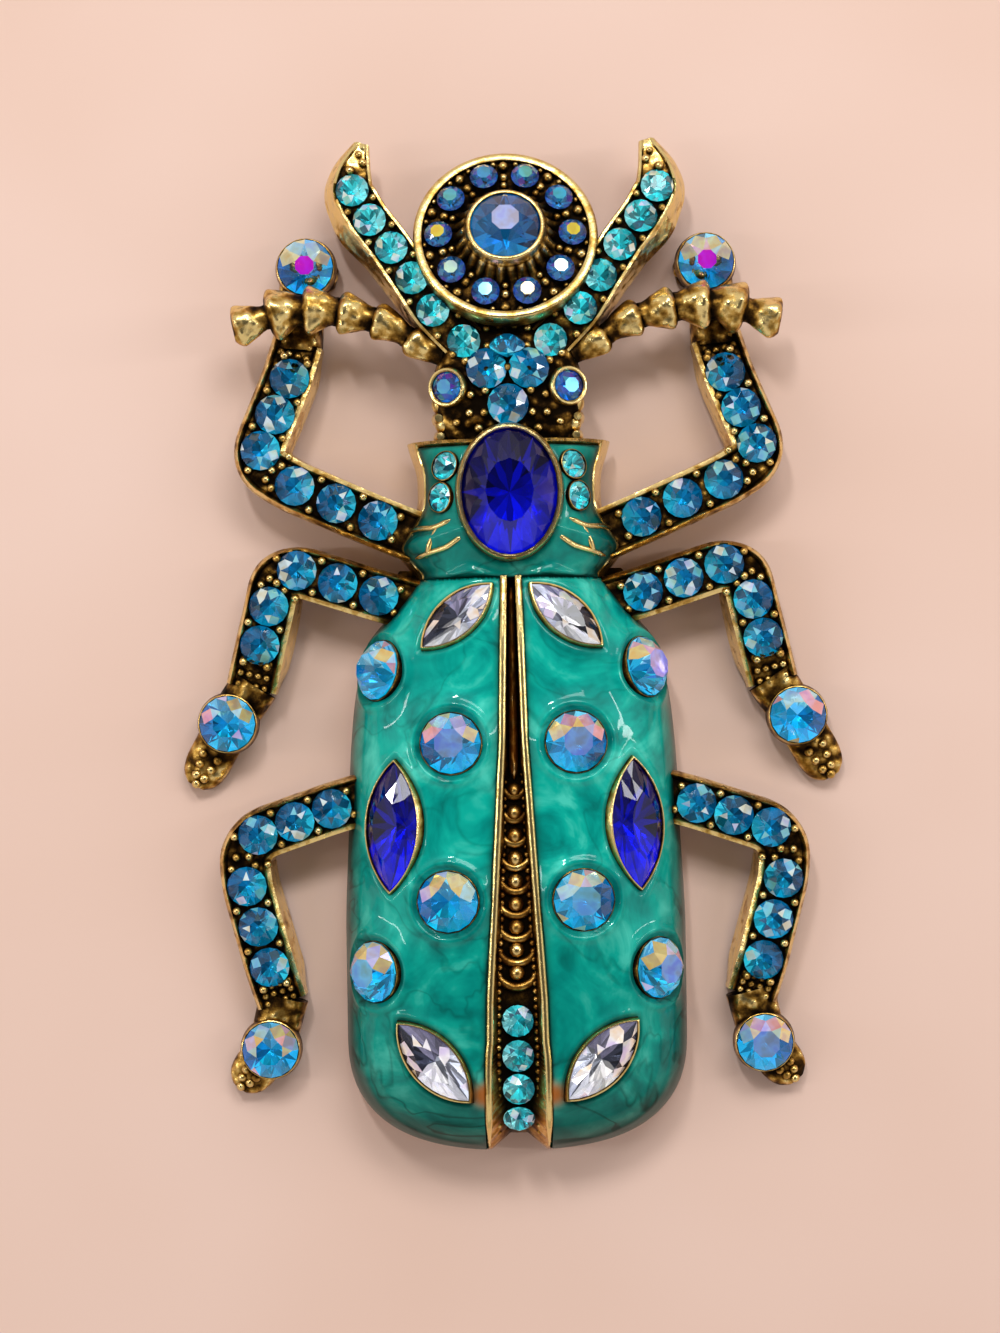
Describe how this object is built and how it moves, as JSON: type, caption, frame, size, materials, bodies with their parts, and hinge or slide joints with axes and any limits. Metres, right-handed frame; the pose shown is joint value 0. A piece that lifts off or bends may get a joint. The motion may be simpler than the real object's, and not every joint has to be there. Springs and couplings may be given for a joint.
{
  "type": "brooch",
  "caption": "Beetle brooch: a hollow antique gold casting with horned head, disc, antennae and jointless legs, teal enamel on its back, set cut-glass stones, and a pin behind.",
  "frame": {"origin": "middle of the outline on the surface that the brooch lies on", "axes": "+Y toward the head, +Z out of the decorated front, +X to the right in the front view"},
  "size_m": [0.0522, 0.0795, 0.0116],
  "materials": {
    "antique_gold": "antique gold plating with dark patina in the recesses",
    "teal_enamel": "glossy pearly enamel",
    "pin_steel": "plain",
    "cobalt_glass": "cut and polished, foil backed",
    "clear_glass": "cut and polished, foil backed",
    "teal_glass": "cut and polished, foil backed",
    "rainbow_glass": "cut, polished and iridescent, foil backed",
    "aqua_glass": "cut and polished, foil backed",
    "turquoise_glass": "cut and polished, foil backed"
  },
  "bodies": {
    "root": {"casting": "antique_gold", "disc_ring_stones": "rainbow_glass", "disc_stone": "teal_glass", "eye_stone_left": "rainbow_glass", "eye_stone_right": "rainbow_glass", "flank_wing_stone_left": "rainbow_glass", "flank_wing_stone_right": "rainbow_glass", "front_foot_stone_left": "rainbow_glass", "front_foot_stone_right": "rainbow_glass", "front_leaf_stone_left": "clear_glass", "front_leaf_stone_right": "clear_glass", "front_leg_stones_left": "turquoise_glass", "front_leg_stones_right": "turquoise_glass", "head_stones": "turquoise_glass", "hind_foot_stone_left": "rainbow_glass", "hind_foot_stone_right": "rainbow_glass", "hind_leg_stones_left": "turquoise_glass", "hind_leg_stones_right": "turquoise_glass", "horn_stones_left": "aqua_glass", "horn_stones_right": "aqua_glass", "lower_wing_stone_left": "rainbow_glass", "lower_wing_stone_right": "rainbow_glass", "middle_foot_stone_left": "rainbow_glass", "middle_foot_stone_right": "rainbow_glass", "middle_leaf_stone_left": "cobalt_glass", "middle_leaf_stone_right": "cobalt_glass", "middle_leg_stones_left": "turquoise_glass", "middle_leg_stones_right": "turquoise_glass", "oval_stone": "cobalt_glass", "pin": "pin_steel", "rear_leaf_stone_left": "clear_glass", "rear_leaf_stone_right": "clear_glass", "shoulder_wing_stone_left": "rainbow_glass", "shoulder_wing_stone_right": "rainbow_glass", "tail_stones": "aqua_glass", "thorax_enamel": "teal_enamel", "thorax_stones_left": "aqua_glass", "thorax_stones_right": "aqua_glass", "upper_wing_stone_left": "rainbow_glass", "upper_wing_stone_right": "rainbow_glass", "wing_enamel_left": "teal_enamel", "wing_enamel_right": "teal_enamel"}
  },
  "joints": []
}
